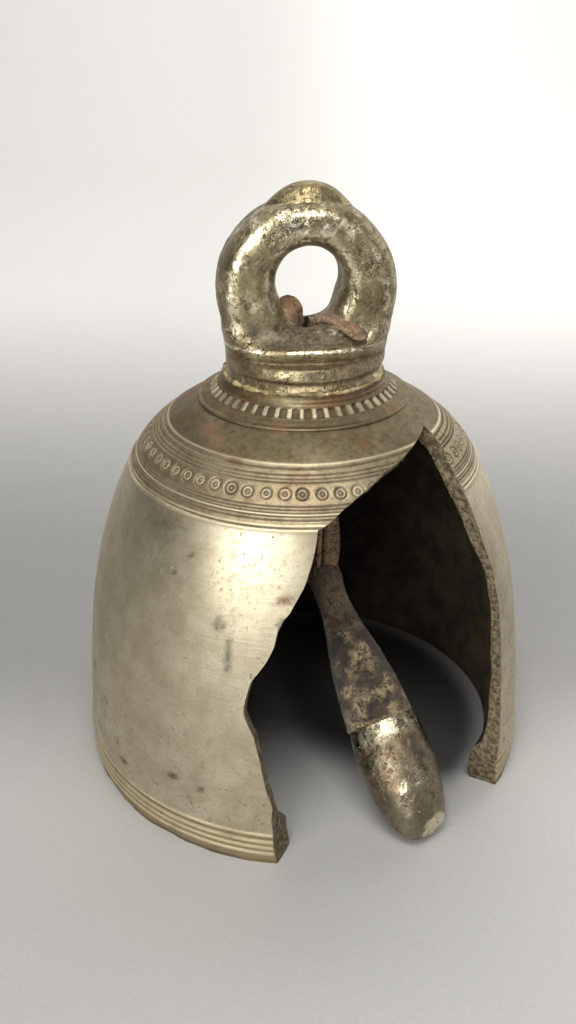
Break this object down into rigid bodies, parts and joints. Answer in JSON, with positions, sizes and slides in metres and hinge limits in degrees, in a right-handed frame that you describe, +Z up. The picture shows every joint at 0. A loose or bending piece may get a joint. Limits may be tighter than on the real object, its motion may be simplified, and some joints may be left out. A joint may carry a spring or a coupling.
{
  "type": "tibetan bell",
  "caption": "Cast bronze hanging bell with a broken wall, an upright suspension loop, grooved shoulder band and a leather-hung clapper.",
  "frame": {"origin": "centre of the rim, on the surface that the bell stands on", "axes": "+Z up through the suspension loop, +X along the loop's width, the break in the wall faces -Y and +X"},
  "size_m": [0.1201, 0.1197, 0.1486],
  "materials": {
    "shell_bronze": "worn high-tin bronze, polished body with pits and a brown patina in the grooves",
    "loop_bronze": "pitted bronze, bright on the worn ridges",
    "cap_bronze": "smooth worn bronze",
    "braze": "rough yellow braze",
    "thong_leather": "old dry red-brown leather",
    "clapper_bronze": "dark bronze, bright where it strikes",
    "sleeve_leather": "dark crusted leather"
  },
  "bodies": {
    "bell": {"bell_shell": "shell_bronze", "crown_loop": "loop_bronze", "loop_cap": "cap_bronze", "braze_seam": "braze", "thong_left_tail": "thong_leather", "thong_right_tail": "thong_leather"},
    "neck": {"thong_neck": "thong_leather"},
    "strap": {"thong_strap": "thong_leather"},
    "clapper": {"clapper": "clapper_bronze", "clapper_sleeve": "sleeve_leather"}
  },
  "joints": [
    {"name": "thong_swing", "type": "hinge", "parent": "bell", "child": "neck", "pos_m": [0, 0, 0.096], "axis": [-0.866, -0.5, 0], "range_deg": [-30, 8]},
    {"name": "thong_sway", "type": "hinge", "parent": "neck", "child": "strap", "pos_m": [0.00145, -0.00251, 0.0886], "axis": [0.5, -0.866, 0], "range_deg": [-12, 12]},
    {"name": "clapper_swing", "type": "hinge", "parent": "strap", "child": "clapper", "pos_m": [0.0052, -0.00901, 0.0512], "axis": [-0.866, -0.5, 0], "range_deg": [-40, 25]}
  ]
}
